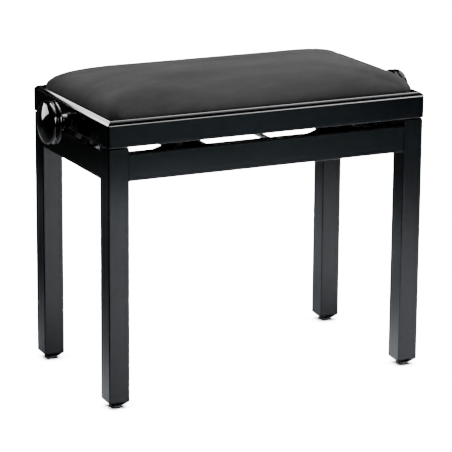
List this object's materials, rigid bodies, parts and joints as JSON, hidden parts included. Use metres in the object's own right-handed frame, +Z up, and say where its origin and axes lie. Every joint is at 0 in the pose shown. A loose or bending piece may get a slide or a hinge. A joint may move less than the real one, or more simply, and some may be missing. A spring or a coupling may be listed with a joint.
{
  "type": "adjustable piano bench",
  "caption": "Height-adjustable piano bench: gloss black leg frame, padded velvet seat on a double scissor lift driven by a threaded spindle with a round knob at each end.",
  "frame": {"origin": "on the floor, under the middle of the bench", "axes": "+X along the bench to its right end, +Y from front to rear, +Z up"},
  "size_m": [0.638, 0.3, 0.4914],
  "materials": {
    "black_lacquer": "high-gloss black polyester lacquer, polished",
    "velvet": "charcoal short-pile velvet",
    "foam": "open-cell upholstery foam",
    "plywood": "black-stained birch plywood",
    "beech": "raw beech",
    "mechanism_black": "semi-gloss black powder coat",
    "zinc_hardware": "zinc plated",
    "bright_steel": "oiled bright steel",
    "black_nylon": "moulded black nylon, satin",
    "knob_gloss": "polished black"
  },
  "bodies": {
    "leg_frame": {"leg_front_left": "black_lacquer", "leg_front_right": "black_lacquer", "leg_rear_left": "black_lacquer", "leg_rear_right": "black_lacquer", "apron_front": "black_lacquer", "apron_rear": "black_lacquer", "apron_left": "black_lacquer", "apron_right": "black_lacquer", "apron_dowels": "beech", "glide_front_left": "black_nylon", "glide_front_right": "black_nylon", "glide_rear_left": "black_nylon", "glide_rear_right": "black_nylon", "glide_screws": "zinc_hardware", "lower_rail_front": "mechanism_black", "lower_rail_rear": "mechanism_black", "lower_strap_left": "mechanism_black", "lower_strap_right": "mechanism_black", "lower_rail_screws": "zinc_hardware", "strap_rivets": "zinc_hardware", "pivot_shaft_left": "zinc_hardware", "pivot_shaft_right": "zinc_hardware"},
    "arm_a_left": {"arm_a_front_left": "mechanism_black", "arm_a_rear_left": "mechanism_black", "cross_pins_left": "zinc_hardware"},
    "arm_b_left": {"arm_b_front_left": "mechanism_black", "arm_b_rear_left": "mechanism_black", "slide_rod_left": "zinc_hardware"},
    "crosshead_left": {"crosshead_left": "mechanism_black"},
    "arm_a_right": {"arm_a_front_right": "mechanism_black", "arm_a_rear_right": "mechanism_black", "cross_pins_right": "zinc_hardware"},
    "arm_b_right": {"arm_b_front_right": "mechanism_black", "arm_b_rear_right": "mechanism_black", "slide_rod_right": "zinc_hardware"},
    "crosshead_right": {"crosshead_right": "mechanism_black"},
    "seat": {"seat_rail_front": "black_lacquer", "seat_rail_rear": "black_lacquer", "seat_rail_left": "black_lacquer", "seat_rail_right": "black_lacquer", "corner_splines": "beech", "seat_board": "plywood", "board_screws": "zinc_hardware", "seat_foam": "foam", "seat_cover": "velvet", "upper_rail_front": "mechanism_black", "upper_rail_rear": "mechanism_black", "upper_rail_screws": "zinc_hardware", "upper_pins_left": "zinc_hardware", "upper_pins_right": "zinc_hardware", "bushing_left": "black_nylon", "bushing_right": "black_nylon"},
    "spindle": {"spindle": "bright_steel", "spindle_collars": "bright_steel", "collar_screws": "bright_steel", "knob_left": "knob_gloss", "knob_right": "knob_gloss"}
  },
  "joints": [
    {"name": "scissor_fold", "type": "hinge", "parent": "leg_frame", "child": "arm_a_left", "pos_m": [-0.217, 0, 0.3695], "axis": [0, -1, 0], "range_deg": [0, 39]},
    {"name": "arm_b_left_cross", "type": "hinge", "parent": "arm_a_left", "child": "arm_b_left", "pos_m": [-0.13616, 0, 0.39577], "axis": [0, -1, 0], "range_deg": [-78, 0]},
    {"name": "seat_lift", "type": "hinge", "parent": "arm_b_left", "child": "seat", "pos_m": [-0.217, 0, 0.42203], "axis": [0, -1, 0], "range_deg": [0, 39]},
    {"name": "crosshead_left_swivel", "type": "hinge", "parent": "arm_a_left", "child": "crosshead_left", "pos_m": [-0.05532, 0, 0.42203], "axis": [0, -1, 0], "range_deg": [-39, 0]},
    {"name": "arm_a_right_hinge", "type": "hinge", "parent": "leg_frame", "child": "arm_a_right", "pos_m": [0.217, 0, 0.3695], "axis": [0, 1, 0], "range_deg": [0, 39]},
    {"name": "arm_b_right_cross", "type": "hinge", "parent": "arm_a_right", "child": "arm_b_right", "pos_m": [0.13616, 0, 0.39577], "axis": [0, 1, 0], "range_deg": [-78, 0]},
    {"name": "crosshead_right_swivel", "type": "hinge", "parent": "arm_a_right", "child": "crosshead_right", "pos_m": [0.05532, 0, 0.42203], "axis": [0, 1, 0], "range_deg": [-39, 0]},
    {"name": "knob_turn", "type": "hinge", "parent": "seat", "child": "spindle", "pos_m": [0, 0, 0.42203], "axis": [1, 0, 0], "range_deg": [0, 6120.08]}
  ],
  "couplings": [
    {"joint": "arm_b_left_cross", "follows": "scissor_fold", "ratio": -2},
    {"joint": "seat_lift", "follows": "scissor_fold", "ratio": 1},
    {"joint": "crosshead_left_swivel", "follows": "scissor_fold", "ratio": -1},
    {"joint": "arm_a_right_hinge", "follows": "scissor_fold", "ratio": 1},
    {"joint": "arm_b_right_cross", "follows": "scissor_fold", "ratio": -2},
    {"joint": "crosshead_right_swivel", "follows": "scissor_fold", "ratio": -1},
    {"joint": "knob_turn", "follows": "scissor_fold", "ratio": 156.92}
  ]
}
